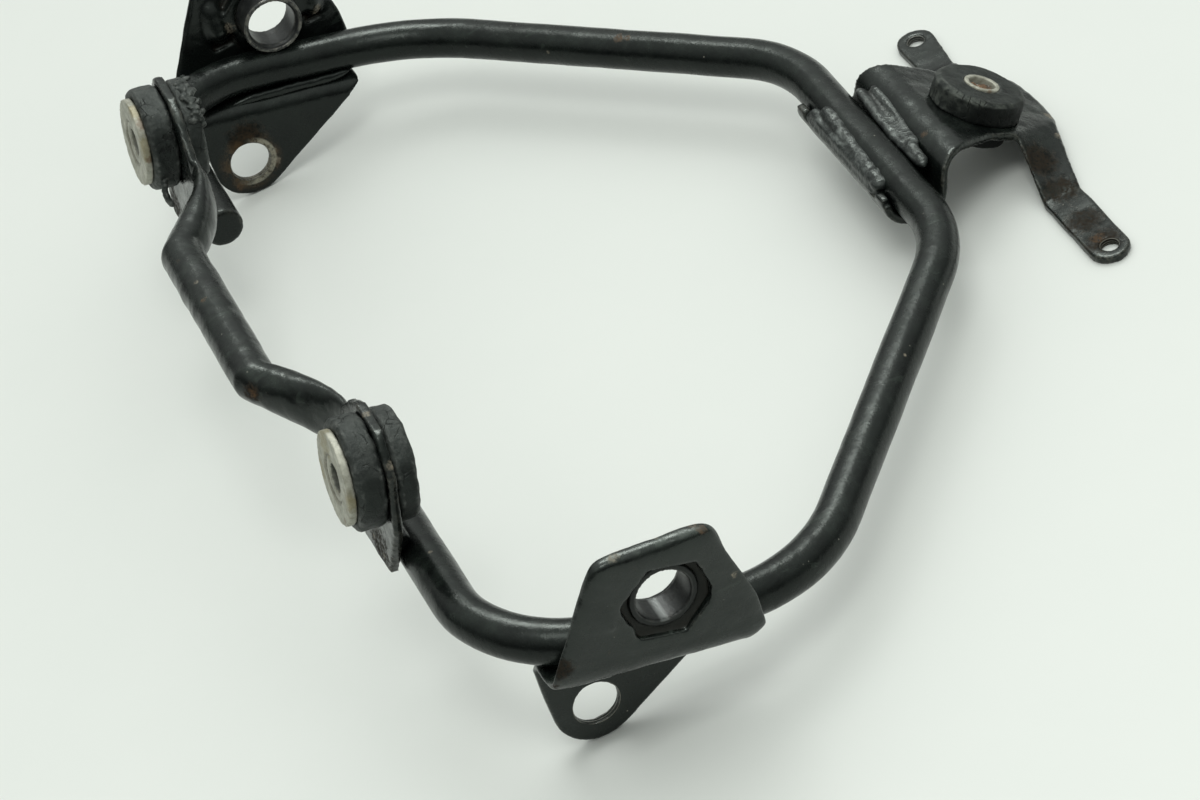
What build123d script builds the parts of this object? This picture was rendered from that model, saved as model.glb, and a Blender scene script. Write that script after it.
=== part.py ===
"""Motorcycle headlight mounting bracket: a bent round bar with a cross bar, two pressed side plates,
rubber-mounted collars at the back and a rubber-mounted strap at the front. Millimetres, +Z up.
It stands as in the photo: on the two plate feet and the two strap pads, which touch Z = 0.
The far side (negative X) is called left, the near side (positive X) is called right."""
import math
import os

from build123d import *

# Bar stock that both bent bars are made of.
ROD_D = 10.0
ROD_R = ROD_D / 2

# General clearances.
SEAT_GAP = 0.25
FIT_GAP = 0.05
RUBBER_GAP = 0.3
# How far a cutting body runs past the face it opens.
CUT_PAST = 1.0
# Middle of a quarter bend.
HALF_BEND = math.radians(45)

# Rear rubber mounts: place of the collar face, tilt of the axis and axial build-up.
MOUNT_X = 74.8
MOUNT_Y = -1.0
MOUNT_Z = 57.3
MOUNT_TILT = 12.5
COLLAR_FLANGE_R = 10.4
COLLAR_FLANGE_T = 1.8
COLLAR_TUBE_R = 4.6
COLLAR_HOLE_R = 3.2
COLLAR_STEP_R = 5.6
COLLAR_STEP_DEPTH = 0.4
GROMMET_R = 12.3
GROMMET_NECK_R = 7.0
GROMMET_EDGE = 0.8
GROMMET_FRONT_T = 6.5
GROMMET_BACK_T = 4.8
PADDLE_T = 2.2
PADDLE_AT = COLLAR_FLANGE_T + GROMMET_FRONT_T
PADDLE_END = PADDLE_AT + PADDLE_T
MOUNT_LENGTH = PADDLE_END + GROMMET_BACK_T

# Cross bar: the straight middle and the cranks that lead to the flattened ends.
CROSS_Y = -4.2
CROSS_Z = 54.4
CROSS_STRAIGHT_X = 28.0
CRANK_END_X = 46.0
CRANK_LEAD = 4.0
CRANK_HALF_H = 5.9
CRANK_HALF_T = 4.3
NECK_HALF_T = 2.4
NECK_END_T = 0.7
FLAT_START_X = 50.0
FLAT_FULL_X = 60.0
NECK_DROP = 4.5
NECK_WIDTH = 15.0
# Outline of the flattened end, measured from the mount centre: outwards and up in its own plane.
PADDLE_HALF = 12.4
PADDLE_LOW = 25.4
PADDLE_TIP_OUT = 5.0
PADDLE_TIP_LOW = 24.6
PADDLE_SHOULDER = 9.5
PADDLE_CORNER_R = 3.0

# Loop bar: corner points of the right half (the left half is the mirror of it).
STUB_END_X = 63.0
STUB_Y = 9.85
STUB_Z = 32.0
SIDE_X = 126.0
REAR_CORNER_Z = 35.5
SIDE_FRONT_Y = 77.8
SIDE_FRONT_Z = 18.6
NOSE_X = 43.3
NOSE_Y = 149.7
NOSE_Z = 18.2
REAR_BEND_R = 26.0
SIDE_BEND_R = 42.0
NOSE_BEND_R = 34.0

# Side plates of pressed sheet.
SHEET_T = 2.0
WRAP_OFFSET = 1.05
WRAP_R = ROD_R + SEAT_GAP
PLATE_IN = WRAP_OFFSET + WRAP_R
PLATE_OUT = PLATE_IN + SHEET_T
FOOT_CLEAR = 0.6
FOOT_OUT = -ROD_R - FOOT_CLEAR
FOOT_IN = FOOT_OUT - SHEET_T
FOOT_BEND_R = 2.0
PROFILE_REACH = 60.0
FACE_LEAN = 6.5
FOOT_HOLE_Y = 27.2
FOOT_R = 9.5
FOOT_HOLE_R = 5.15
FOOT_TANGENT = 58.0
PLATE_REAR_Y = 17.4
PLATE_WAIST_Z = 31.0
PLATE_TOP_REAR = (34.0, 57.0)
PLATE_TOP_FRONT = (60.0, 53.2)
PLATE_FRONT = (65.2, 29.0)
PLATE_FRONT_LOW = (65.2, 19.0)
PLATE_CORNER_R = 4.0
# The turned-in rim stands only above a line: its rear and front heights and where it climbs in y.
RIM_REAR_Z = 33.0
RIM_FRONT_Z = 47.0
RIM_CLIMB_FROM = 30.0
RIM_CLIMB_TO = 55.0

# Bush with its hexagon pocket in each side plate.
BUSH_Y = 46.1
BUSH_Z = 39.25
BUSH_R = 7.4
BUSH_BORE_R = 6.2
BUSH_STEP_R = 6.8
BUSH_STEP = 1.2
BUSH_INNER_REACH = 9.4
HEX_R = 10.4
HEX_TURN = 40.0
POCKET_DEPTH = 2.8
POCKET_WALL = 0.7
POCKET_FLOOR = 1.6

# Pressed ribs beside the bush, seen from the inside.
RIB_R = 3.0
RIB_H = 2.0
RIB_ROUND = 1.8
RIB_REAR = (33.6, 41.0)
RIB_REAR_LENGTH = 11.0
RIB_FRONT = (58.0, 35.0)
RIB_FRONT_LENGTH = 7.0
SLOT_H = 3.0
SLOT_DEPTH = 1.5

# Front lug: one folded plate that cradles the nose of the loop bar and ends in two bent arms.
LUG_T = 2.0
LUG_HALF = 25.0
LUG_LIP_Z = 18.6
LUG_WALL_Y = 156.5
LUG_CREST_Y = 160.9
LUG_CREST_R = 5.0
LUG_PITCH = 33.0
LUG_FRONT_Y = 198.0
LUG_SHOULDER_Y = 164.5
LUG_SHOULDER_HALF = 21.0
LUG_WAIST_Y = 174.4
LUG_WAIST_RIGHT = 14.3
LUG_WAIST_LEFT = 19.0
LIP_TAB_W = 4.0
LIP_TAB_H = 1.6
LIP_TAB_X = 22.0
ARM_W = 9.6
ARM_Y = 183.2
ARM_HOLE_X = 51.4
ARM_HOLE_R = 2.1
ARM_END_X = ARM_HOLE_X + ARM_W / 2
# Where each arm leaves the sloping plate and where it comes down flat, as near and far plan points.
RIGHT_ROOT = ((13.0, 181.0), (5.0, 193.6))
RIGHT_FOOT = ((28.0, 178.4), (28.0, 188.0))
LEFT_ROOT = ((-15.0, 181.0), (-19.5, 190.6))
LEFT_FOOT = ((-37.0, 178.4), (-37.0, 186.4))
LUG_NOSE = ((3.0, 194.4), (-4.0, 195.0), (-16.0, 193.4))

# Front rubber mount with its steel sleeve.
FRONT_Y = 176.6
FRONT_Z = 14.0
DISC_R = 11.0
DISC_T = 6.0
DISC_EDGE = 1.0
FRONT_NECK_R = 6.6
FRONT_LOW_R = 9.0
FRONT_LOW_T = 4.4
SLEEVE_R = 4.3
SLEEVE_BORE_R = 3.2
SLEEVE_PROUD = 0.3

# Weld beads.
BEAD_R = 2.2
FRONT_BEAD_R = 2.6
BEAD_HALF = 18.0
TACK_R = 2.0
TACK_SIT = 1.2
TACK_LENGTH = 12.0
PLATE_BEAD_R = 1.7
PLATE_BEAD_IN = 0.6
PLATE_BEAD_FROM = 22.0
PLATE_BEAD_LENGTH = 24.0


def path_of(points, radii):
    """A wire through the points with each inner corner rounded to its own radius."""
    corners = [Vector(*point) for point in points]
    edges = []
    last = corners[0]
    for index in range(1, len(corners) - 1):
        corner = corners[index]
        to_back = (corners[index - 1] - corner).normalized()
        to_next = (corners[index + 1] - corner).normalized()
        half = math.acos(to_back.dot(to_next)) / 2
        run = radii[index - 1] / math.tan(half)
        start = corner + to_back * run
        finish = corner + to_next * run
        bisector = (to_back + to_next).normalized()
        middle = corner + bisector * (radii[index - 1] / math.sin(half) - radii[index - 1])
        edges.append(Line(last, start))
        edges.append(ThreePointArc(start, middle, finish))
        last = finish
    edges.append(Line(last, corners[-1]))
    return Wire(edges)


def bar_along(path, radius):
    """A round bar swept along a path."""
    start = Plane(origin=path @ 0, z_dir=path % 0)
    return sweep(start * Circle(radius), path=path)


def right_of(point):
    return (point[0], point[1], point[2])


def left_of(point):
    return (-point[0], point[1], point[2])


def along_x(face, low, high):
    """A YZ outline drawn as (y, z) made into a solid between two x values."""
    return extrude(Plane(origin=(low, 0, 0), x_dir=(0, 1, 0), z_dir=(1, 0, 0)) * face, high - low)


def disc_x(y, z, radius, low, high):
    return along_x(Pos(y, z) * Circle(radius), low, high)


FROM_BASE = (Align.CENTER, Align.CENTER, Align.MIN)

# Frame of the right mount: local z runs forward along the collar axis, local x outwards, local y up.
tilt = math.radians(MOUNT_TILT)
mount_axis = Vector(0, math.cos(tilt), -math.sin(tilt))
mount_plane = Plane(origin=(MOUNT_X, MOUNT_Y, MOUNT_Z), x_dir=(-1, 0, 0), z_dir=mount_axis)


def mount_disc(radius, low, high):
    """A disc on the axis of the right mount, lengths counted from the collar face."""
    return mount_plane * (Pos(0, 0, low) * Cylinder(radius, high - low, align=FROM_BASE))


# Loop bar.
stub_end = (STUB_END_X, STUB_Y, STUB_Z)
rear_corner = (SIDE_X, STUB_Y, REAR_CORNER_Z)
side_corner = (SIDE_X, SIDE_FRONT_Y, SIDE_FRONT_Z)
nose_corner = (NOSE_X, NOSE_Y, NOSE_Z)
right_half = [stub_end, rear_corner, side_corner, nose_corner]
loop_points = [right_of(p) for p in right_half] + [left_of(p) for p in reversed(right_half)]
half_radii = [REAR_BEND_R, SIDE_BEND_R, NOSE_BEND_R]
loop_bar = bar_along(path_of(loop_points, half_radii + half_radii[::-1]), ROD_R)

# Cross bar with flattened ends.
paddle_mid = mount_axis * (PADDLE_AT + PADDLE_T / 2)
neck_y = MOUNT_Y + paddle_mid.Y - NECK_DROP * math.sin(tilt)
neck_z = MOUNT_Z + paddle_mid.Z - NECK_DROP * math.cos(tilt)
straight = path_of([(-CROSS_STRAIGHT_X, CROSS_Y, CROSS_Z), (CROSS_STRAIGHT_X, CROSS_Y, CROSS_Z)], [])
cross_bar = bar_along(straight, ROD_R)
neck_end = Vector(FLAT_FULL_X, neck_y, neck_z)
crank_from = Vector(CROSS_STRAIGHT_X, CROSS_Y, CROSS_Z)
crank_to = Vector(CRANK_END_X, neck_y, neck_z)
crank_dir = (crank_to - crank_from).normalized()
crank_mid = (crank_from + crank_to) / 2
section_planes = [
    Plane(origin=crank_from, x_dir=(0, 0, 1), z_dir=(1, 0, 0)),
    Plane(origin=crank_mid, x_dir=mount_plane.y_dir, z_dir=crank_dir),
    Plane(origin=crank_to + Vector(CRANK_LEAD, 0, 0), x_dir=mount_plane.y_dir, z_dir=(1, 0, 0)),
    Plane(origin=neck_end, x_dir=mount_plane.y_dir, z_dir=(1, 0, 0)),
]
section_tall = [ROD_R, CRANK_HALF_H, NECK_WIDTH / 2, NECK_WIDTH / 2]
section_thick = [ROD_R, CRANK_HALF_T, NECK_HALF_T, NECK_END_T]
sections = [section_planes[0] * Circle(ROD_R)]
for plane, tall, thick in zip(section_planes[1:], section_tall[1:], section_thick[1:]):
    sections.append(plane * Ellipse(tall, thick))
neck = loft(sections)
neck_in = MOUNT_X - (FLAT_START_X + FLAT_FULL_X) / 2
neck_top = NECK_WIDTH / 2 - NECK_DROP
neck_low = -NECK_WIDTH / 2 - NECK_DROP
outline = make_face(
    Polyline(
        (neck_in, neck_top),
        (PADDLE_HALF, PADDLE_SHOULDER),
        (PADDLE_HALF / 2, PADDLE_HALF),
        (-PADDLE_HALF / 2, PADDLE_HALF),
        (-PADDLE_HALF, PADDLE_SHOULDER / 2),
        (-PADDLE_HALF, -PADDLE_SHOULDER),
        (-PADDLE_TIP_OUT, -PADDLE_TIP_LOW),
        (PADDLE_HALF, -PADDLE_LOW),
        (PADDLE_HALF, neck_low - PADDLE_CORNER_R),
        (neck_in, neck_low),
        close=True,
    )
)
inside_x = PADDLE_HALF + CUT_PAST
above_y = -PADDLE_SHOULDER - CUT_PAST
round_corners = [v for v in outline.vertices() if v.X < inside_x and v.Y > above_y]
outline = fillet(round_corners, PADDLE_CORNER_R)
paddle = extrude(mount_plane * (Pos(0, 0, PADDLE_AT) * outline), PADDLE_T, dir=mount_axis)
paddle -= mount_disc(GROMMET_NECK_R + FIT_GAP, 0, MOUNT_LENGTH)
right_end = neck + paddle
cross_bar = cross_bar + right_end + mirror(right_end, about=Plane.YZ)

# Rear collar and grommet on the right mount.
collar = mount_disc(COLLAR_FLANGE_R, 0, COLLAR_FLANGE_T)
collar += mount_disc(COLLAR_TUBE_R, 0, MOUNT_LENGTH + FIT_GAP)
collar -= mount_disc(COLLAR_STEP_R, -CUT_PAST, COLLAR_STEP_DEPTH)
collar -= mount_disc(COLLAR_HOLE_R, -CUT_PAST, MOUNT_LENGTH + CUT_PAST)
front_disc = mount_disc(GROMMET_R, COLLAR_FLANGE_T, PADDLE_AT)
front_disc = chamfer(front_disc.edges().filter_by(GeomType.CIRCLE), GROMMET_EDGE)
back_disc = mount_disc(GROMMET_R, PADDLE_END, MOUNT_LENGTH)
back_disc = chamfer(back_disc.edges().filter_by(GeomType.CIRCLE), GROMMET_EDGE)
grommet = front_disc + mount_disc(GROMMET_NECK_R, COLLAR_FLANGE_T, MOUNT_LENGTH) + back_disc
grommet -= mount_disc(COLLAR_TUBE_R + FIT_GAP, 0, MOUNT_LENGTH + CUT_PAST)

# Right side plate: one folded profile run along the bar, cut to the outline of the plate.
side_run = Vector(*side_corner) - Vector(*rear_corner)
side_dir = side_run.normalized()
fold_plane = Plane(origin=Vector(*side_corner), x_dir=(1, 0, 0), z_dir=-side_dir)
foot_top = -WRAP_R
foot_arc = foot_top - SHEET_T - FOOT_BEND_R
fold_x = FOOT_OUT + FOOT_BEND_R
wrap_dx = WRAP_R * math.cos(HALF_BEND)
wrap_ox = (WRAP_R + SHEET_T) * math.cos(HALF_BEND)
bend_in = FOOT_BEND_R * math.cos(HALF_BEND)
bend_out = (FOOT_BEND_R + SHEET_T) * math.cos(HALF_BEND)
lean = math.tan(math.radians(FACE_LEAN))
face_top = PROFILE_REACH * lean
fold = [
    Line((PLATE_IN + face_top, PROFILE_REACH), (PLATE_IN, 0)),
    ThreePointArc((PLATE_IN, 0), (WRAP_OFFSET + wrap_dx, -wrap_dx), (WRAP_OFFSET, foot_top)),
    Line((WRAP_OFFSET, foot_top), (fold_x, foot_top)),
    ThreePointArc((fold_x, foot_top), (fold_x - bend_out, foot_arc + bend_out), (FOOT_IN, foot_arc)),
    Line((FOOT_IN, foot_arc), (FOOT_IN, -PROFILE_REACH)),
    Line((FOOT_IN, -PROFILE_REACH), (FOOT_OUT, -PROFILE_REACH)),
    Line((FOOT_OUT, -PROFILE_REACH), (FOOT_OUT, foot_arc)),
    ThreePointArc((FOOT_OUT, foot_arc), (fold_x - bend_in, foot_arc + bend_in), (fold_x, foot_top - SHEET_T)),
    Line((fold_x, foot_top - SHEET_T), (WRAP_OFFSET, foot_top - SHEET_T)),
    ThreePointArc(
        (WRAP_OFFSET, foot_top - SHEET_T), (WRAP_OFFSET + wrap_ox, -wrap_ox), (PLATE_OUT, 0)
    ),
    Line((PLATE_OUT, 0), (PLATE_OUT + face_top, PROFILE_REACH)),
    Line((PLATE_OUT + face_top, PROFILE_REACH), (PLATE_IN + face_top, PROFILE_REACH)),
]
folded = extrude(fold_plane * make_face(fold), side_run.length)
behind = Polyline(
    (0, 0), (PLATE_OUT, 0), (PLATE_OUT + face_top, PROFILE_REACH), (0, PROFILE_REACH), close=True
)
behind_face = extrude(fold_plane * make_face(behind), side_run.length)
foot_angle = math.radians(-FOOT_TANGENT)
foot_tangent = (FOOT_HOLE_Y + FOOT_R * math.cos(foot_angle), FOOT_R + FOOT_R * math.sin(foot_angle))
foot_low = (FOOT_HOLE_Y, 0)
foot_rear = (FOOT_HOLE_Y - FOOT_R, FOOT_R)
plate_lines = [
    Line(foot_rear, (PLATE_REAR_Y, PLATE_WAIST_Z)),
    Line((PLATE_REAR_Y, PLATE_WAIST_Z), PLATE_TOP_REAR),
    Line(PLATE_TOP_REAR, PLATE_TOP_FRONT),
    Line(PLATE_TOP_FRONT, PLATE_FRONT),
    Line(PLATE_FRONT, PLATE_FRONT_LOW),
    Line(PLATE_FRONT_LOW, foot_tangent),
    ThreePointArc(foot_tangent, foot_low, foot_rear),
]
plate_face = make_face(plate_lines)
top_corners = plate_face.vertices().sort_by(Axis.Y)[-2:]
plate_face = fillet(top_corners, PLATE_CORNER_R)
plate_in_x = SIDE_X + PLATE_IN
plate_out_x = SIDE_X + PLATE_OUT
face_end_x = plate_out_x + face_top
side_plate = folded & along_x(plate_face, SIDE_X + FOOT_IN - CUT_PAST, face_end_x)
rim_from_y = foot_rear[0] - SHEET_T - CUT_PAST
rim_to_y = PLATE_FRONT[0] + SHEET_T + CUT_PAST
below_rim = make_face(
    Polyline(
        (rim_from_y, RIM_REAR_Z),
        (RIM_CLIMB_FROM, RIM_REAR_Z),
        (RIM_CLIMB_TO, RIM_FRONT_Z),
        (rim_to_y, RIM_FRONT_Z),
        (rim_to_y, -CUT_PAST),
        (rim_from_y, -CUT_PAST),
        close=True,
    )
)
rim_face = plate_face - offset(plate_face, -SHEET_T) - below_rim
side_plate += along_x(rim_face, plate_in_x, face_end_x) & behind_face


def lean_at(y, z):
    """How far the leaning face stands out at a place on the plate."""
    return fold_plane.to_local_coords(Vector(SIDE_X, y, z)).Y * lean


bush_lean = lean_at(BUSH_Y, BUSH_Z)
pocket_floor_x = plate_out_x + bush_lean - POCKET_DEPTH
hexagon = Pos(BUSH_Y, BUSH_Z) * Rot(0, 0, HEX_TURN) * RegularPolygon(HEX_R, 6)
hex_outer = Pos(BUSH_Y, BUSH_Z) * Rot(0, 0, HEX_TURN) * RegularPolygon(HEX_R + POCKET_WALL, 6)
side_plate += along_x(hex_outer, pocket_floor_x - POCKET_FLOOR, face_end_x) & behind_face
side_plate -= along_x(hexagon, pocket_floor_x, face_end_x)
side_plate -= disc_x(BUSH_Y, BUSH_Z, BUSH_R + FIT_GAP, SIDE_X, face_end_x)
foot_cut = (SIDE_X + FOOT_IN - CUT_PAST, SIDE_X + FOOT_OUT + CUT_PAST)
side_plate -= disc_x(FOOT_HOLE_Y, FOOT_R, FOOT_HOLE_R, *foot_cut)
for spot, length in ((RIB_REAR, RIB_REAR_LENGTH), (RIB_FRONT, RIB_FRONT_LENGTH)):
    rib_foot = spot[1] - length / 2
    slot = Pos(spot[0], rib_foot) * Rectangle(2 * RIB_R, SLOT_H)
    slot_x = plate_in_x + lean_at(spot[0], rib_foot)
    side_plate -= along_x(slot, slot_x - CUT_PAST, slot_x + SLOT_DEPTH)
    rib_x = plate_in_x + lean_at(*spot)
    rib = along_x(Pos(*spot) * SlotOverall(length, 2 * RIB_R, rotation=90), rib_x - RIB_H, rib_x + SHEET_T)
    side_plate += fillet(rib.edges().group_by(Axis.X)[0], RIB_ROUND) & behind_face

# Bush pressed into the pocket of the right plate.
bush_end_x = pocket_floor_x + RUBBER_GAP
bush_start_x = plate_in_x + bush_lean - BUSH_INNER_REACH
bush = disc_x(BUSH_Y, BUSH_Z, BUSH_R, bush_start_x, bush_end_x)
bush -= disc_x(BUSH_Y, BUSH_Z, BUSH_BORE_R, bush_start_x - CUT_PAST, bush_end_x + CUT_PAST)
bush -= disc_x(BUSH_Y, BUSH_Z, BUSH_STEP_R, bush_start_x - CUT_PAST, bush_start_x + BUSH_STEP)

# Front lug: the folded stem, cut to its plan, joined to the bent arms.
cradle_r = ROD_R + SEAT_GAP
lip_y = NOSE_Y - cradle_r - LUG_T / 2
base_z = NOSE_Z - cradle_r - LUG_T / 2
pitch = math.radians(LUG_PITCH)


def slope_z(y):
    """Height of the middle of the sloping plate under the front mount."""
    return FRONT_Z - (y - FRONT_Y) * math.tan(pitch)


stem_points = [
    (lip_y, LUG_LIP_Z, 0),
    (lip_y, base_z, 0),
    (LUG_WALL_Y, base_z, 0),
    (LUG_CREST_Y, slope_z(LUG_CREST_Y), 0),
    (LUG_FRONT_Y, slope_z(LUG_FRONT_Y), 0),
]
cradle_bend = cradle_r + LUG_T / 2 - FIT_GAP
stem_line = path_of(stem_points, [cradle_bend, cradle_bend, LUG_CREST_R])
stem = along_x(trace(stem_line, LUG_T), -LUG_HALF, LUG_HALF)
plan_rear = NOSE_Y - 3 * ROD_R
stem_plan = make_face(
    Polyline(
        (-LUG_HALF, plan_rear),
        (LUG_HALF, plan_rear),
        (LUG_HALF, LUG_WALL_Y),
        (LUG_SHOULDER_HALF, LUG_SHOULDER_Y),
        (LUG_WAIST_RIGHT, LUG_WAIST_Y),
        *RIGHT_ROOT,
        *LUG_NOSE,
        *reversed(LEFT_ROOT),
        (-LUG_WAIST_LEFT, LUG_WAIST_Y),
        (-LUG_SHOULDER_HALF, LUG_SHOULDER_Y),
        (-LUG_HALF, LUG_WALL_Y),
        close=True,
    )
)
stem = stem & extrude(stem_plan, 2 * NOSE_Z)
plate_drop = LUG_T / math.cos(pitch)


def strip_section(points, lows, height):
    """A face across an arm, upright over two plan points, from the two low heights upwards."""
    near, far = points
    near_low, far_low = lows
    corners = [
        (near[0], near[1], near_low),
        (far[0], far[1], far_low),
        (far[0], far[1], far_low + height),
        (near[0], near[1], near_low + height),
    ]
    return make_face(Polyline(*corners, close=True))


def arm_between(root, foot):
    """The bent part of an arm: a twisted strip from the sloping plate down to the flat pad."""
    root_lows = [slope_z(point[1]) - plate_drop / 2 for point in root]
    root_section = strip_section(root, root_lows, plate_drop)
    foot_section = strip_section(foot, (0, 0), LUG_T)
    return loft([root_section, foot_section], ruled=True)


arms = arm_between(RIGHT_ROOT, RIGHT_FOOT) + arm_between(LEFT_ROOT, LEFT_FOOT)
for side, foot in ((1, RIGHT_FOOT), (-1, LEFT_FOOT)):
    pad_x = side * ARM_HOLE_X
    pad_low = ARM_Y - ARM_W / 2
    pad_high = ARM_Y + ARM_W / 2
    pad_lines = [
        Line(foot[0], (pad_x, pad_low)),
        ThreePointArc((pad_x, pad_low), (side * ARM_END_X, ARM_Y), (pad_x, pad_high)),
        Line((pad_x, pad_high), foot[1]),
        Line(foot[1], foot[0]),
    ]
    arms += extrude(make_face(pad_lines), LUG_T, dir=(0, 0, 1))
front_plane = Plane(
    origin=(0, FRONT_Y, FRONT_Z), x_dir=(1, 0, 0), z_dir=(0, math.sin(pitch), math.cos(pitch))
)


def front_disc_at(radius, low, high):
    """A disc on the axis of the front mount, heights counted from the middle of the plate."""
    return front_plane * (Pos(0, 0, low) * Cylinder(radius, high - low, align=FROM_BASE))


lug = stem + arms
lug -= front_disc_at(FRONT_NECK_R + FIT_GAP, -LUG_T * 2, LUG_T * 2)
for side in (-1, 1):
    lug -= Pos(side * ARM_HOLE_X, ARM_Y, 0) * Cylinder(ARM_HOLE_R, 3 * LUG_T)
    lug += Pos(side * LIP_TAB_X, lip_y, LUG_LIP_Z) * Box(LIP_TAB_W, LUG_T, 2 * LIP_TAB_H)

# Front rubber and sleeve.
disc_low = LUG_T / 2
disc_top = disc_low + DISC_T
low_top = -LUG_T / 2
low_end = low_top - FRONT_LOW_T
upper_disc = front_disc_at(DISC_R, disc_low, disc_top)
upper_disc = chamfer(upper_disc.edges().filter_by(GeomType.CIRCLE).sort_by(Axis.Z)[-1:], DISC_EDGE)
front_rubber = upper_disc + front_disc_at(FRONT_NECK_R, low_end, disc_low)
front_rubber += front_disc_at(FRONT_LOW_R, low_end, low_top)
front_rubber -= front_disc_at(SLEEVE_R + FIT_GAP, low_end - CUT_PAST, disc_top + CUT_PAST)
front_sleeve = front_disc_at(SLEEVE_R, low_end - SLEEVE_PROUD, disc_top + SLEEVE_PROUD)
front_sleeve -= front_disc_at(SLEEVE_BORE_R, low_end - CUT_PAST, disc_top + CUT_PAST)

# Weld beads on the lug and at the flattened ends.
rear_bead = Pos(0, NOSE_Y - ROD_R, LUG_LIP_Z) * Rot(0, 90, 0) * Cylinder(BEAD_R, 2 * BEAD_HALF)
rear_bead = rear_bead - loop_bar - lug
bead_y = (NOSE_Y + ROD_R + LUG_CREST_Y - LUG_T) / 2
front_bead = Pos(0, bead_y, NOSE_Z) * Rot(0, 90, 0) * Cylinder(FRONT_BEAD_R, 2 * BEAD_HALF)
front_bead = front_bead - loop_bar - lug
stub_slope = (REAR_CORNER_Z - STUB_Z) / (SIDE_X - STUB_END_X)
stub_z = STUB_Z + (MOUNT_X - STUB_END_X) * stub_slope
tack_up = mount_plane.y_dir
face_point = Vector(MOUNT_X, MOUNT_Y, MOUNT_Z) + mount_axis * PADDLE_END
stub_point = Vector(MOUNT_X, STUB_Y, stub_z)
stub_drop = (stub_point - face_point).dot(tack_up)
tack_rise = math.sqrt((ROD_R + TACK_SIT) ** 2 - (ROD_R - TACK_SIT) ** 2)
tack_at = face_point + tack_up * (stub_drop + tack_rise) + mount_axis * TACK_SIT
end_bead = Pos(*tuple(tack_at)) * Rot(0, 90, 0) * Cylinder(TACK_R, TACK_LENGTH)
end_bead = end_bead - loop_bar - cross_bar
plate_bead_at = fold_plane.from_local_coords(Vector(-ROD_R + PLATE_BEAD_IN, foot_top, PLATE_BEAD_FROM))
plate_bead_plane = Plane(origin=plate_bead_at, x_dir=(1, 0, 0), z_dir=-side_dir)
plate_bead = extrude(plate_bead_plane * Circle(PLATE_BEAD_R), PLATE_BEAD_LENGTH) - loop_bar - side_plate

pieces = {
    "loop bar": loop_bar,
    "cross bar": cross_bar,
    "right side plate": side_plate,
    "left side plate": mirror(side_plate, about=Plane.YZ),
    "right bush": bush,
    "left bush": mirror(bush, about=Plane.YZ),
    "right grommet": grommet,
    "left grommet": mirror(grommet, about=Plane.YZ),
    "right collar": collar,
    "left collar": mirror(collar, about=Plane.YZ),
    "front lug": lug,
    "front rubber": front_rubber,
    "front sleeve": front_sleeve,
    "rear lug weld": rear_bead,
    "front lug weld": front_bead,
    "right end weld": end_bead,
    "left end weld": mirror(end_bead, about=Plane.YZ),
    "right plate weld": plate_bead,
    "left plate weld": mirror(plate_bead, about=Plane.YZ),
}

os.makedirs("parts", exist_ok=True)
whole = Compound(children=[Compound(shape.solids()) for shape in pieces.values()]).bounding_box()
shift = Pos(-whole.center().X, -whole.center().Y, -whole.min.Z)
for name, shape in pieces.items():
    solids = shape.solids()
    print(name, "solids", len(solids), "volume", round(sum(s.volume for s in solids), 1))
    body = solids[0] if len(solids) == 1 else Compound(solids)
    export_step(shift * body, "parts/" + name.replace(" ", "_") + ".step")
print("box", whole.size, "centre", whole.center(), "low", whole.min.Z)
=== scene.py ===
"""Looks of the headlight mounting bracket: worn black paint, aged rubber, stained zinc and lumpy welds.
Places are in the bracket's own drawing frame, in millimetres. at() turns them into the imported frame."""

import math
import random

import bmesh
import bpy
import numpy as np
from mathutils import Matrix, Vector, noise
from mathutils.bvhtree import BVHTree


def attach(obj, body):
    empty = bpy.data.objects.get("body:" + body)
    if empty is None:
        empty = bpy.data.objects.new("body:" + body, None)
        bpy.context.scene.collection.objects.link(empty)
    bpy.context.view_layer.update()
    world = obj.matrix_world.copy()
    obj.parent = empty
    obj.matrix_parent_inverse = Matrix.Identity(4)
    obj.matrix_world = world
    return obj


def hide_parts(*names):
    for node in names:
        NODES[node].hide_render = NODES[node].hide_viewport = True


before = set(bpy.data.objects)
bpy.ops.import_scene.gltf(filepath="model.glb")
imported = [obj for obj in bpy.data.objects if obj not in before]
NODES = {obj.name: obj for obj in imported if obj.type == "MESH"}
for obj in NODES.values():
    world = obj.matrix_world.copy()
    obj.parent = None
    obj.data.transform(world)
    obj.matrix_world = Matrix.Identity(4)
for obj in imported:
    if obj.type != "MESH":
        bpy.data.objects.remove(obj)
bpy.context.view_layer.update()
SCENE = bpy.context.scene

MM = 0.001
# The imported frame's origin lies this far ahead of the drawing frame's origin.
SHIFT_Y = 92.9
SIDES = (("right", 1), ("left", -1))
SIDEWAYS = Vector((1, 0, 0))
UPWARDS = Vector((0, 0, 1))

# Camera of the photograph, solved from the bar's edges and the points that touch the table.
PHOTO_W, PHOTO_H = 1200, 800
FOCAL_PX = 4126.7
CAMERA_AT = (751.03, -55.78, 583.14)
CAMERA_RIGHT = (0.3654, 0.8903, -0.27175)
CAMERA_DOWN = (0.51444, -0.43645, -0.73815)
CAMERA_VIEW = (-0.77578, 0.12992, -0.61749)
SENSOR = 36.0

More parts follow.
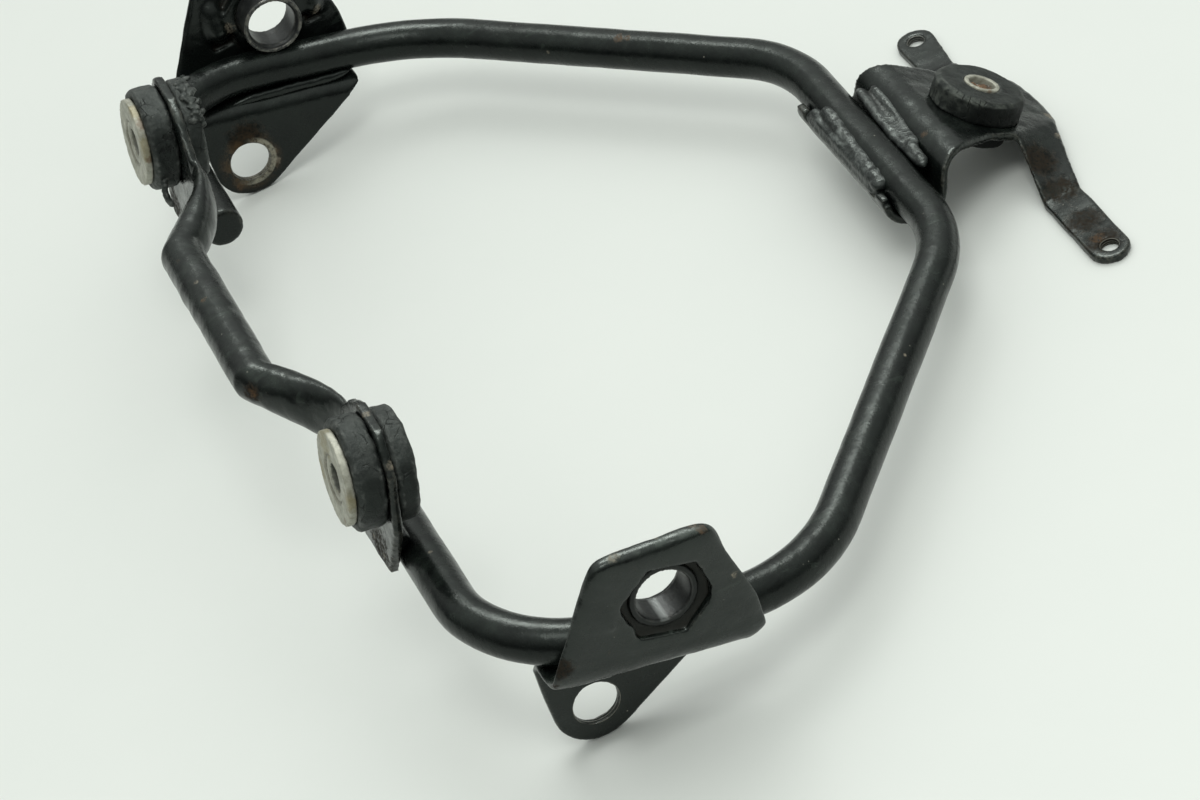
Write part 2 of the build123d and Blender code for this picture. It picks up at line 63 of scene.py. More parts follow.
# Sizes shared with the solids, in millimetres and degrees.
NOSE_Y = 149.7
LIP_Z = 18.6
MOUNT_X, MOUNT_Y, MOUNT_Z, MOUNT_TILT = 74.8, -1.0, 57.3, 12.5
COLLAR_HOLE_R = 3.2
FRONT_Y, FRONT_Z, FRONT_PITCH = 176.6, 14.0, 33.0
SLEEVE_BORE_R, DISC_R = 3.2, 11.0
FOOT_X, FOOT_Y, FOOT_Z, FOOT_HOLE_R, FOOT_THREAD = 119.4, 27.2, 9.5, 5.15, 0.7
BUSH_X, BUSH_Y, BUSH_Z, BUSH_BORE_R = 129.4, 46.1, 39.25, 6.2
HEX_R, HEX_TURN, POCKET_FLOOR_AT = 11.0, 40, 3.5
ARM_X, ARM_Y, ARM_HOLE_Z, ARM_HOLE_R, ARM_THREAD = 51.4, 183.2, 1.0, 2.1, 0.6

# Wear that the photograph shows: pixel (u, v) and radius in millimetres.
BAR_RUST = ((619, 37, 1.7), (627, 38, 1.2))
BAR_BARE = ((548, 52, 0.6), (905, 355, 0.5), (430, 552, 0.6))
CROSS_RUST = ((252, 393, 1.6), (203, 300, 1.0))
CROSS_BARE = ((366, 414, 1.1), (392, 465, 1.4), (384, 556, 0.9), (374, 536, 0.7), (196, 282, 0.8))
CROSS_STAIN = ((380, 545, 9.0), (176, 205, 7.0), (252, 394, 3.0))
RIGHT_PLATE_RUST = ((702, 526, 1.8), (692, 524, 1.4), (618, 548, 0.9))
RIGHT_PLATE_BARE = ((655, 536, 0.8), (612, 556, 1.6), (735, 575, 1.0))
RIGHT_PLATE_STAIN = ((560, 672, 4.0), (548, 690, 3.0))
LEFT_PLATE_RUST = ((240, 186, 1.6), (285, 178, 1.8), (272, 186, 1.4))
# On the left plate the last two spots are painted highlights on the rib bulges; the others are bare metal.
LEFT_PLATE_BARE_AND_HIGHLIGHTS = ((272, 152, 1.6), (277, 160, 1.4), (227, 28, 2.2), (316, 9, 1.8))
LEFT_PLATE_STAIN = ((246, 138, 6.0), (280, 190, 6.0), (262, 196, 5.0))
LUG_RUST = ((924, 134, 1.2), (1098, 238, 2.0))
LUG_BARE = ((1058, 136, 1.4), (1050, 116, 1.8), (1002, 72, 1.0))
LUG_STAIN = ((1040, 160, 6.0), (1062, 190, 6.0), (1085, 220, 6.0), (1105, 245, 6.0))
GROMMET_TEARS = {"right": (), "left": ((172, 136, 1.2), (166, 138, 1.0), (170, 149, 1.1), (163, 151, 0.9))}
COLLAR_STAIN = {
    "right": ((324, 444, 4.5), (321, 468, 3.5), (350, 505, 3.0)),
    "left": ((134, 112, 3.0), (146, 150, 4.0)),
}
COLLAR_RUST = {"right": ((345, 520, 1.0),), "left": ((143, 124, 2.0), (150, 160, 1.2))}
SLEEVE_STAIN = ((988, 97, 1.2),)
SLEEVE_RUST = ((990, 92, 0.8),)

# Lines of welds and crumbs in the photograph, as pixels.
REAR_WELD_TOP = ((828, 112), (838, 125), (849, 140), (860, 155), (870, 168), (880, 184))
REAR_WELD_CURL = ((864, 163), (872, 172), (879, 183))
FRONT_WELD_LOW = ((862, 94), (876, 114), (893, 135), (910, 152), (921, 162))
FRONT_WELD_HIGH = ((876, 90), (890, 107), (904, 126), (913, 141))
FRONT_WELD_GROOVE = ((871, 96), (885, 112), (899, 131), (912, 147))
FRONT_WELD_END = ((912, 148), (920, 159))
CRUST_START, CRUST_RUN = (180, 80), (21, 42)
STRIP_TOP = (166, 180)


def at(x, y, z):
    """A point of the drawing frame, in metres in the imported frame."""
    return Vector((x, y - SHIFT_Y, z)) * MM


def srgb(red, green, blue):
    """A colour as it reads on screen, 0 to 255, made linear."""
    def linear(value):
        value /= 255
        return value / 12.92 if value <= 0.04045 else ((value + 0.055) / 1.055) ** 2.4
    return (linear(red), linear(green), linear(blue), 1.0)


# Where a pixel of the photograph meets the solids.
def solids_tree():
    points, faces = [], []
    for node in NODES.values():
        start = len(points)
        points += [v.co.copy() for v in node.data.vertices]
        faces += [[start + i for i in polygon.vertices] for polygon in node.data.polygons]
    return BVHTree.FromPolygons(points, faces)


TREE = solids_tree()


def seen(u, v):
    """The point of the solids that shows at photo pixel (u, v)."""
    right, down, view = (Vector(axis) for axis in (CAMERA_RIGHT, CAMERA_DOWN, CAMERA_VIEW))
    ray = view + right * ((u - PHOTO_W / 2) / FOCAL_PX) + down * ((v - PHOTO_H / 2) / FOCAL_PX)
    hit = TREE.ray_cast(at(*CAMERA_AT), ray.normalized())[0]
    if hit is None:
        print("no solid shows at pixel", u, v)
        return at(0, 0, -1000)
    return hit


def drawn_at(u, v):
    """The same point in the drawing frame, in millimetres."""
    return seen(u, v) / MM + Vector((0, SHIFT_Y, 0))


# Mesh helpers.
def new_object(name, data):
    obj = bpy.data.objects.new(name, data)
    SCENE.collection.objects.link(obj)
    return obj


def settle(obj):
    """Bakes the modifiers of an object into its mesh."""
    bpy.context.view_layer.update()
    graph = bpy.context.evaluated_depsgraph_get()
    mesh = bpy.data.meshes.new_from_object(obj.evaluated_get(graph))
    obj.modifiers.clear()
    old = obj.data
    obj.data = mesh
    bpy.data.meshes.remove(old)
    mesh.shade_smooth()
    return obj


def soften(obj, voxel, rounds):
    """Rebuilds the mesh on an even grid of a size in millimetres and rounds its edges."""
    remesh = obj.modifiers.new("even grid", "REMESH")
    remesh.mode = "VOXEL"
    remesh.voxel_size = voxel * MM
    smooth = obj.modifiers.new("round edges", "SMOOTH")
    smooth.factor = 0.5
    smooth.iterations = rounds
    return settle(obj)


def add_ellipsoid(work, centre, radii, turn=Matrix.Identity(4)):
    size = Matrix.Diagonal((*[radius * MM for radius in radii], 1.0))
    place = Matrix.Translation(at(*centre)) @ turn @ size
    bmesh.ops.create_icosphere(work, subdivisions=3, radius=1.0, matrix=place)


def skin_of(node, voxel, rounds, plugs=()):
    """A softened copy of a CAD node's mesh that stands for the node, with ellipsoids melted into it."""
    mesh = NODES[node].data.copy()
    mesh.materials.clear()
    work = bmesh.new()
    work.from_mesh(mesh)
    bmesh.ops.remove_doubles(work, verts=work.verts, dist=0.001 * MM)
    for centre, radii in plugs:
        add_ellipsoid(work, centre, radii)
    work.to_mesh(mesh)
    work.free()
    return soften(new_object(node + "_skin", mesh), voxel, rounds)


def coordinates(mesh):
    values = np.empty(len(mesh.vertices) * 3)
    mesh.vertices.foreach_get("co", values)
    return values.reshape(-1, 3)


def normals(mesh):
    values = np.empty(len(mesh.vertices) * 3)
    mesh.vertex_normals.foreach_get("vector", values)
    return values.reshape(-1, 3)


def move_to(mesh, place):
    mesh.vertices.foreach_set("co", place.ravel())
    mesh.update()


def edge_ends(mesh):
    """The first and the second vertex of each edge."""
    ends = np.empty(len(mesh.edges) * 2, int)
    mesh.edges.foreach_get("vertices", ends)
    return ends.reshape(-1, 2).T


def push(obj, seed, amount, size, steps=3):
    """Moves each vertex along its normal by layered noise: amount and feature size in millimetres."""
    mesh = obj.data
    place, normal = coordinates(mesh), normals(mesh)
    seed_way = np.array((7.1, 3.3, 5.7))
    grid = (place / (size * MM) + seed * seed_way).tolist()
    height = [noise.fractal(point, 1.0, 2.0, steps, noise_basis="PERLIN_ORIGINAL") for point in grid]
    move_to(mesh, place + normal * (np.array(height) * amount * MM)[:, None])


def ease(obj, weight, rounds):
    """Rounds the surface where the weight, 0 to 1 for each vertex, is high."""
    place = coordinates(obj.data)
    count = len(place)
    first, second = edge_ends(obj.data)
    both, other = np.concatenate([first, second]), np.concatenate([second, first])
    shares = np.maximum(np.bincount(both, minlength=count), 1)
    for _ in range(rounds):
        middle = np.stack([np.bincount(both, place[other, axis], count) / shares for axis in range(3)], 1)
        place += (middle - place) * (0.5 * weight)[:, None]
    move_to(obj.data, place)


def near_line(obj, points, full, none):
    """1 for vertices within a distance of a line through (y, z) points, 0 beyond another, in millimetres."""
    place = coordinates(obj.data)[:, 1:] / MM + (SHIFT_Y, 0)
    nearest = np.full(len(place), np.inf)
    for start, end in zip(np.array(points[:-1]), np.array(points[1:])):
        run = end - start
        share = np.clip((place - start) @ run / (run @ run), 0, 1)
        nearest = np.minimum(nearest, np.linalg.norm(place - start - share[:, None] * run, axis=1))
    return np.clip((none - nearest) / (none - full), 0, 1)


def grow(obj, amount):
    """Moves the whole surface outwards, in millimetres."""
    move_to(obj.data, coordinates(obj.data) + normals(obj.data) * amount * MM)


def mark_edges(obj, spread=3):
    """Stores how sharply the surface bends at each vertex: 1 on outer edges, -1 in inner corners."""
    mesh = obj.data
    place, normal = coordinates(mesh), normals(mesh)
    count = len(place)
    sharp_bend = 0.12
    first, second = edge_ends(mesh)
    run = place[second] - place[first]
    run /= np.linalg.norm(run, axis=1)[:, None]
    both, other = np.concatenate([first, second]), np.concatenate([second, first])
    shares = np.maximum(np.bincount(both, minlength=count), 1)
    bend = np.concatenate([-(run * normal[first]).sum(1), (run * normal[second]).sum(1)])
    bend = np.bincount(both, bend, count) / shares
    for _ in range(spread):
        bend = (bend + np.bincount(both, bend[other], count) / shares) / 2
    attribute = mesh.attributes.new("edge", "FLOAT", "POINT")
    attribute.data.foreach_set("value", np.clip(bend / sharp_bend, -1, 1).astype(np.float32))


def uneven_skin(node, voxel, rounds, seed, amount, size):
    """A softened copy of a node with a slightly uneven surface and its edges marked."""
    obj = skin_of(node, voxel, rounds)
    push(obj, seed, amount, size)
    mark_edges(obj)
    return obj


def dress(obj, material, slot, *nodes):
    """Gives a piece its material and the body that it belongs to, and hides the nodes that it stands for;
    the slot is not used.
    """
    obj.data.materials.clear()
    obj.data.materials.append(material)
    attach(obj, "root")
    if nodes:
        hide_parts(*nodes)
    return obj


# Materials.
class Graph:
    """A principled material and short names for the nodes that feed it."""

    def __init__(self, name):
        self.material = bpy.data.materials.new(name)
        self.material.use_nodes = True
        self.tree = self.material.node_tree
        self.shader = self.tree.nodes["Principled BSDF"]
        self.place = self.node("ShaderNodeTexCoord").outputs["Object"]
        self.normal = self.node("ShaderNodeNewGeometry").outputs["Normal"]

    def node(self, kind, **settings):
        made = self.tree.nodes.new(kind)
        for key, value in settings.items():
            setattr(made, key, value)
        return made

    def feed(self, socket, value):
        if isinstance(value, bpy.types.NodeSocket):
            self.tree.links.new(value, socket)
        else:
            socket.default_value = value

    def math(self, operation, *values):
        made = self.node("ShaderNodeMath", operation=operation)
        for socket, value in zip(made.inputs, values):
            self.feed(socket, value)
        return made.outputs[0]

    def times(self, first, second):
        return self.math("MULTIPLY", first, second)

    def most(self, first, second):
        """The larger of two values, or the second where the first is None."""
        return second if first is None else self.math("MAXIMUM", first, second)

    def vector(self, operation, first, second=None):
        made = self.node("ShaderNodeVectorMath", operation=operation)
        self.feed(made.inputs[0], first)
        if second is not None:
            made.inputs[1].default_value = second
        return made

    def noise(self, size, detail=6.0, rough=0.6, stretch=None, twist=0.0):
        """Soft noise with features of about the given size in millimetres."""
        made = self.node("ShaderNodeTexNoise")
        place = self.place
        if stretch is not None:
            mapping = self.node("ShaderNodeMapping")
            self.feed(mapping.inputs["Vector"], place)
            mapping.inputs["Scale"].default_value = stretch
            place = mapping.outputs[0]
        self.feed(made.inputs["Vector"], place)
        made.inputs["Scale"].default_value = 1 / (size * MM)
        made.inputs["Detail"].default_value = detail
        made.inputs["Roughness"].default_value = rough
        made.inputs["Distortion"].default_value = twist
        return made.outputs["Fac"]

    def cells(self, size, feature):
        """Distance within cells of about the given size in millimetres."""
        made = self.node("ShaderNodeTexVoronoi", feature=feature)
        self.feed(made.inputs["Vector"], self.place)
        made.inputs["Scale"].default_value = 1 / (size * MM)
        return made.outputs["Distance"]

    def step(self, value, low, high):
        """0 below low, 1 above high, smooth between; low may be above high."""
        made = self.node("ShaderNodeMapRange", interpolation_type="SMOOTHSTEP")
        self.feed(made.inputs["Value"], value)
        made.inputs["From Min"].default_value = low
        made.inputs["From Max"].default_value = high
        return made.outputs[0]

    def between(self, share, low, high):
        """A value from low to high as the share goes from 0 to 1."""
        made = self.node("ShaderNodeMapRange")
        self.feed(made.inputs["Value"], share)
        made.inputs["To Min"].default_value = low
        made.inputs["To Max"].default_value = high
        return made.outputs[0]

    def blend(self, share, under, over):
        made = self.node("ShaderNodeMix", data_type="RGBA")
        self.feed(made.inputs["Factor"], share)
        self.feed(made.inputs["A"], under)
        self.feed(made.inputs["B"], over)
        return made.outputs["Result"]

    def cover(self, under, over, mask, strength):
        """One colour laid over another where the mask is 1, at a strength."""
        return self.blend(self.times(mask, strength), under, over)

    def spot(self, point, radius, ragged, grain):
        """1 around a point and 0 beyond the radius, with a ragged rim; radius and grain in millimetres."""
        far = self.vector("DISTANCE", self.place, point).outputs["Value"]
        rim = self.times(self.math("SUBTRACT", self.noise(grain), 0.5), 2 * ragged * radius * MM)
        full = 0.45 * radius
        return self.step(self.math("ADD", far, rim), radius * MM, full * MM)

    def spots(self, places, ragged=0.5, grain=2.0):
        """1 at any of the (u, v, radius) places."""
        total = None
        for u, v, radius in places:
            total = self.most(total, self.spot(seen(u, v), radius, ragged, grain))
        return total

    def away(self, centre, axis):
        """Distance from an axis, in metres."""
        reach = self.vector("SUBTRACT", self.place, centre).outputs[0]
        cross = self.vector("CROSS_PRODUCT", reach, axis).outputs[0]
        return self.vector("LENGTH", cross).outputs["Value"]

    def along(self, centre, axis):
        """Distance along an axis, in metres."""
        reach = self.vector("SUBTRACT", self.place, centre).outputs[0]
        return self.vector("DOT_PRODUCT", reach, axis).outputs["Value"]

    def ring(self, centre, axis, inner, outer):
        """1 between two radii about an axis, in millimetres."""
        far = self.away(centre, axis)
        soft = 0.25 * MM
        rise = self.step(far, inner * MM - soft, inner * MM + soft)
        fall = self.step(far, outer * MM + soft, outer * MM - soft)
        return self.times(rise, fall)

    def angle(self, centre, axis):
        """Turn about an axis, in radians."""
        side = axis.orthogonal().normalized()
        return self.math("ARCTAN2", self.along(centre, axis.cross(side)), self.along(centre, side))

    def inside(self, centre, axis, radius):
        """1 within a bore about an axis, radius in millimetres."""
        soft = 0.12 * MM
        return self.step(self.away(centre, axis), radius * MM + soft, radius * MM - soft)

    def radial_cracks(self, centre, axis, count, width):
        """Thin lines that run out from an axis at uneven turns."""
        cells = self.node("ShaderNodeTexVoronoi", feature="DISTANCE_TO_EDGE", voronoi_dimensions="1D")
        self.feed(cells.inputs["W"], self.angle(centre, axis))
        cells.inputs["Scale"].default_value = count / (2 * math.pi)
        return self.step(cells.outputs["Distance"], width, 0.0)

    def threads(self, centre, axis, pitch):
        """Rising and falling screw thread along an axis, pitch in millimetres."""
        return self.math("SINE", self.times(self.along(centre, axis), 2 * math.pi / (pitch * MM)))

    def up(self, low=0.3, high=0.95):
        """1 where the surface faces up."""
        split = self.node("ShaderNodeSeparateXYZ")
        self.feed(split.inputs[0], self.normal)
        return self.step(split.outputs["Z"], low, high)

    def edge(self, low, high):
        """1 on outer edges, or in inner corners where low and high are below 0."""
        made = self.node("ShaderNodeAttribute", attribute_name="edge")
        return self.step(made.outputs["Fac"], low, high)

    def bump(self, height, depth):
        """Feeds a bump of a height texture, depth in millimetres."""
        made = self.node("ShaderNodeBump")
        made.inputs["Strength"].default_value = 1.0
        made.inputs["Distance"].default_value = depth * MM
        self.feed(made.inputs["Height"], height)
        self.feed(self.shader.inputs["Normal"], made.outputs[0])

    def sheen(self, level):
        """Sets the strength of reflections and their faint green."""
        self.feed(self.shader.inputs["Specular IOR Level"], level)
        self.shader.inputs["Specular Tint"].default_value = SHEEN_TINT

    def finish(self, colour, rough, metal=0.0):
        self.feed(self.shader.inputs["Base Color"], colour)
        self.feed(self.shader.inputs["Roughness"], rough)
        self.feed(self.shader.inputs["Metallic"], metal)
        return self.material


PAINT = srgb(17, 21, 19)
PAINT_DEEP = srgb(8, 10, 10)
PAINT_DUST = srgb(80, 90, 82)
SHEEN_TINT = (0.92, 1.0, 0.95, 1.0)
BARE = srgb(138, 136, 126)
BARE_SPOT = srgb(150, 140, 124)
# Painted highlight for a hole's lit rim.
LIT_RIM_HIGHLIGHT = srgb(158, 154, 138)
THREAD = srgb(116, 114, 106)
RUST = srgb(96, 72, 50)
RUST_DARK = srgb(52, 42, 32)
RUST_HALO = srgb(84, 66, 46)
# Painted shade for inner corners.
CORNER_SHADE = srgb(34, 29, 24)
# Painted shade for the floor of a pocket.
POCKET_SHADE = srgb(22, 18, 14)


def rub_edges_and_shade_corners(g, colour, fine, share):
    """Paint rubbed through on outer edges and painted shade in inner corners."""
    rub = g.times(g.edge(0.25, 0.9), g.step(fine, 0.38, 0.62))
    rub = g.times(rub, g.step(g.noise(7.0, detail=3.0), 0.42, 0.62))
    colour = g.cover(colour, BARE, rub, share)
    # Painted shade: inner corners darkened to a dark brown.
    return g.cover(colour, CORNER_SHADE, g.edge(-0.15, -0.7), 0.6)


def wear_spots(g, colour, wear, places, tint):
    """Ragged spots of one colour at given pixels."""
    share = g.spots(places, ragged=0.9, grain=1.3)
    share = g.times(share, g.step(g.noise(0.8, rough=0.7), 0.3, 0.6))
    wear = g.most(wear, share)
    darker = tuple(0.55 * c for c in tint[:3]) + (1.0,)
    tone = g.blend(g.step(g.noise(1.1), 0.35, 0.65), tint, darker)
    return g.cover(colour, tone, share, 0.75), wear


def rust_bloom(g, colour, wear, share):
    """Rust that breaks through the paint in patches."""
    start = 0.66 - 0.12 * share
    bloom = g.times(g.step(g.noise(6.0, detail=9.0, rough=0.72), start, 0.72), 0.8)
    return g.blend(bloom, colour, RUST_DARK), g.most(wear, bloom)


def worn_hole(g, colour, wear, centre, axis, inner, outer):
    """Rust around a hole, with a painted highlight on the front lower half of its rim."""
    worn = g.step(g.away(centre, axis), outer * MM, inner * MM)
    worn = g.times(worn, g.step(g.noise(2.4, detail=8.0, rough=0.72), 0.36, 0.66))
    colour = g.cover(colour, RUST_HALO, worn, 0.8)
    # Painted highlight: a pale ring on the front lower half of the hole's rim, where it catches the light.
    lit_rim = g.ring(centre, axis, inner - 1.2, inner + 1.0)
    lit_rim = g.times(lit_rim, g.step(g.noise(1.8, detail=8.0, rough=0.7), 0.34, 0.56))
    half = g.step(g.along(centre, Vector((0, 0.9, -0.44))), -3.0 * MM, 3.0 * MM)
    colour = g.cover(colour, LIT_RIM_HIGHLIGHT, g.times(lit_rim, half), 0.8)
    return colour, g.most(wear, worn)


def shaded_pocket_floor(g, colour, wear, centre, axis, radius, floor_at):
    """Painted shade on the floor of a pressed pocket."""
    deep = g.step(g.along(centre, axis), (floor_at + 1.1) * MM, (floor_at + 0.4) * MM)
    deep = g.times(deep, g.inside(centre, axis, radius))
    # Painted shade: the pocket floor darkened.
    return g.cover(colour, POCKET_SHADE, deep, 0.7), g.most(wear, deep)


def paint(name, dust=0.35, rust=(), bare=(), stain=(), worn_edges=0.5, rust_share=0.0, tapped=(), halo=None,
          pocket=None, shine=0.35):
    """Worn semi-gloss black paint with dust on top and rust, bare metal or stains at given pixels."""
    g = Graph(name)
    patch = g.noise(9.0, detail=5.0, rough=0.62)
    colour = g.blend(g.step(patch, 0.3, 0.7), PAINT_DEEP, PAINT)
    fine = g.noise(0.9, detail=8.0, rough=0.7)
    dusty = g.times(g.up(), g.step(g.noise(5.0, detail=8.0, rough=0.7), 0.42, 0.72))
    dusty = g.times(dusty, dust)
    colour = g.blend(dusty, colour, PAINT_DUST)
    speck = g.step(g.cells(3.2, "F1"), 0.075, 0.045)
    speck = g.times(speck, g.step(g.noise(12.0), 0.55, 0.6))
    colour = g.cover(colour, BARE, speck, 0.7)
    scratch = g.noise(2.6, detail=3.0, rough=0.5, stretch=(1.0, 0.12, 1.0), twist=0.4)
    colour = g.cover(colour, PAINT_DUST, g.step(scratch, 0.665, 0.7), 0.12)
    # Worn edges also bring the painted shade in inner corners.
    if worn_edges:
        colour = rub_edges_and_shade_corners(g, colour, fine, worn_edges)
    wear = None
    for places, tint in ((stain, RUST_DARK), (bare, BARE_SPOT), (rust, RUST)):
        if places:
            colour, wear = wear_spots(g, colour, wear, places, tint)
    if rust_share:
        colour, wear = rust_bloom(g, colour, wear, rust_share)
    if halo is not None:
        colour, wear = worn_hole(g, colour, wear, *halo)
    if pocket is not None:
        colour, wear = shaded_pocket_floor(g, colour, wear, *pocket)
    rough = g.between(g.step(g.noise(4.0), 0.3, 0.7), 0.18, 0.32)
    rough = g.most(rough, g.times(dusty, 1.6))
    if wear is not None:
        rough = g.most(rough, g.times(wear, 0.75))
    pit = g.math("ADD", g.times(g.noise(1.4), 0.6), g.times(fine, 0.25))
    for centre, axis, radius, pitch in tapped:
        thread = g.times(g.inside(centre, axis, radius + 0.3), g.threads(centre, axis, pitch))
        pit = g.math("ADD", pit, g.times(thread, 2.0))
        colour = g.blend(g.step(thread, 0.3, 0.9), colour, THREAD)
    g.bump(pit, depth=0.12)
    g.sheen(g.between(g.spots(stain), shine, 0.25 * shine) if stain else shine)
    return g.finish(colour, rough)


def cracked_rim(g, colour, crack, centre, axis, radius):
    """A disc's sides darkened as painted shade, its pale top rim and the splits across that rim."""
    # Painted shade: the disc is darker wherever it does not face up.
    colour = g.blend(g.up(0.1, 0.7), srgb(9, 10, 10), colour)
    rim = g.step(g.away(centre, axis), (radius - 1.6) * MM, (radius - 0.5) * MM)
    pale = g.times(g.times(rim, g.up(0.2, 0.7)), g.step(g.noise(2.6, detail=8.0, rough=0.7), 0.4, 0.62))
    colour = g.cover(colour, srgb(118, 122, 114), pale, 0.35)
    split = g.times(g.radial_cracks(centre, axis, count=36, width=0.07), rim)
    split = g.times(split, g.step(g.noise(6.0, detail=3.0), 0.5, 0.56))
    return colour, g.most(crack, split)


def rubber(name, dust=0.3, disc=None, tears=(), shine=0.4):
    """Aged black rubber with dust, pale edges and fine cracks."""
    g = Graph(name)
    colour = g.blend(g.step(g.noise(6.0, detail=7.0), 0.3, 0.7), srgb(17, 20, 19), srgb(32, 36, 34))
    dusty = g.times(g.up(0.1, 0.9), g.step(g.noise(3.0, detail=9.0, rough=0.75), 0.4, 0.7))
    colour = g.cover(colour, srgb(96, 98, 94), dusty, dust)
    pale = g.times(g.edge(0.2, 0.85), g.step(g.noise(1.6, detail=8.0, rough=0.7), 0.4, 0.62))
    colour = g.cover(colour, srgb(120, 122, 118), pale, 0.5)
    crack = g.step(g.cells(3.4, "DISTANCE_TO_EDGE"), 0.035, 0.0)
    crack = g.times(crack, g.step(g.noise(7.0), 0.5, 0.62))
    if disc is not None:
        colour, crack = cracked_rim(g, colour, crack, *disc)
    if tears:
        crack = g.most(crack, g.spots(tears, ragged=1.2, grain=0.9))
    colour = g.blend(crack, colour, srgb(6, 6, 6))
    grain = g.math("SUBTRACT", g.noise(0.8, detail=8.0, rough=0.75), g.times(crack, 1.2))
    g.bump(grain, depth=0.25)
    g.sheen(shine)
    return g.finish(colour, g.between(g.noise(2.0), 0.4, 0.62))


def zinc(name, stain, rust, bore=None):
    """Dull stained zinc with pits, painted shade in inner corners and inside a bore, and two turned lines
    around that bore.
    """
    g = Graph(name)
    tone = g.step(g.noise(3.0, detail=8.0, rough=0.7), 0.3, 0.7)
    colour = g.blend(tone, srgb(132, 131, 118), srgb(186, 185, 172))
    blot = g.step(g.noise(4.5, detail=9.0, rough=0.75), 0.5, 0.66)
    colour = g.cover(colour, srgb(128, 122, 100), blot, 0.55)
    for places, tint in ((stain, srgb(128, 116, 74)), (rust, srgb(104, 70, 44))):
        colour = g.cover(colour, tint, g.spots(places, ragged=0.8, grain=1.2), 0.55)
    pit = g.times(g.step(g.cells(1.3, "F1"), 0.16, 0.08), g.step(g.noise(5.0), 0.48, 0.6))
    colour = g.cover(colour, srgb(84, 68, 50), pit, 0.7)
    # Painted shade in inner corners.
    colour = g.cover(colour, srgb(60, 54, 44), g.edge(-0.1, -0.6), 0.7)
    g.bump(g.noise(0.9, detail=8.0, rough=0.7), depth=0.12)
    if bore is not None:
        centre, axis, radius = bore
        # Painted shade inside the bore.
        colour = g.blend(g.inside(centre, axis, radius), colour, srgb(30, 36, 33))
        for line_r, width in ((radius + 2.3, 0.35), (radius + 0.5, 0.3)):
            line = g.ring(centre, axis, line_r - width, line_r + width)
            colour = g.cover(colour, srgb(86, 80, 64), line, 0.35)
    return g.finish(colour, g.between(g.noise(2.2), 0.4, 0.62), metal=0.25)


def steel(name, centre, axis, rim_share, highlight_way=None):
    """Grimy bush with a pale rim, or with a painted rim and one painted highlight streak in its bore."""
    g = Graph(name)
    colour = g.blend(g.step(g.noise(5.0), 0.35, 0.65), srgb(34, 36, 36), srgb(58, 60, 59))
    grime = g.step(g.noise(2.4, detail=8.0, rough=0.7), 0.52, 0.66)
    colour = g.cover(colour, srgb(30, 26, 22), grime, 0.6)
    rim = g.times(g.edge(0.2, 0.8), g.step(g.noise(1.6, detail=8.0, rough=0.7), 0.42, 0.6))
    colour = g.cover(colour, srgb(126, 124, 116), rim, rim_share)
    if highlight_way is not None:
        painted = g.math("SUBTRACT", 1.0, g.inside(centre, axis, BUSH_BORE_R + 0.25))
        colour = g.cover(colour, PAINT, painted, 0.85)
        side = axis.orthogonal().normalized()
        turn = math.atan2(highlight_way.dot(axis.cross(side)), highlight_way.dot(side))
        near = g.math("COSINE", g.math("SUBTRACT", g.angle(centre, axis), turn))
        # Painted highlight: a bright streak along one side of the bore.
        bore_highlight = g.times(g.step(near, 0.98, 1.0), g.inside(centre, axis, BUSH_BORE_R + 0.2))
        colour = g.cover(colour, srgb(150, 154, 152), bore_highlight, 0.5)
    g.bump(g.noise(0.7), depth=0.06)
    return g.finish(colour, g.between(g.noise(1.8), 0.26, 0.5), metal=0.45)


def weld_paint(name, dust):
    """Black paint over a rippled weld, with pale dust on top that partly stands for a painted highlight, and
    painted shade in its creases.
    """
    g = Graph(name)
    colour = g.blend(g.step(g.noise(3.0, detail=8.0), 0.35, 0.65), srgb(20, 22, 22), srgb(38, 41, 40))
    streak = g.noise(2.6, detail=9.0, rough=0.75, stretch=(0.45, 1.0, 1.0), twist=0.8)
    # Pale dust on the top, partly a painted highlight.
    dusty = g.times(g.up(0.35, 0.95), g.step(streak, 0.46, 0.66))
    colour = g.cover(colour, srgb(136, 141, 138), dusty, dust)
    # Painted shade in the weld's creases.
    colour = g.cover(colour, srgb(20, 18, 16), g.edge(-0.1, -0.6), 0.8)
    ripple = g.noise(1.6, detail=2.0, rough=0.5, stretch=(1.0, 0.4, 0.4), twist=1.5)
    g.bump(g.math("ADD", g.noise(1.2), ripple), depth=0.22)
    g.sheen(0.4)
    return g.finish(colour, g.between(g.noise(1.5), 0.2, 0.4))


def dirt(name):
    """Dry brown dirt with pale grit."""
    g = Graph(name)
    colour = g.blend(g.step(g.noise(1.6, detail=8.0), 0.4, 0.6), srgb(70, 58, 46), srgb(122, 92, 66))
    colour = g.blend(g.step(g.noise(1.2), 0.55, 0.64), colour, srgb(206, 202, 194))
    g.bump(g.noise(0.5, detail=8.0), depth=0.3)
    return g.finish(colour, 0.9)


# Loop bar, drawn smooth with the faint unevenness of bent stock.
loop_bar = uneven_skin("loop_bar", voxel=0.62, rounds=9, seed=2, amount=0.12, size=14.0)
bar_paint = paint("bar_paint", dust=0.14, rust=BAR_RUST, bare=BAR_BARE, worn_edges=0.15, shine=0.28)
dress(loop_bar, bar_paint, "black_paint", "loop_bar")

# Cross bar with its flattened, scuffed ends.
cross_bar = uneven_skin("cross_bar", voxel=0.45, rounds=9, seed=3, amount=0.16, size=6.0)
cross_paint = paint(
    "cross_paint",
    dust=0.2,
    rust=CROSS_RUST,
    bare=CROSS_BARE,
    stain=CROSS_STAIN,
    worn_edges=0.2,
    rust_share=0.1,
)
dress(cross_bar, cross_paint, "black_paint", "cross_bar")

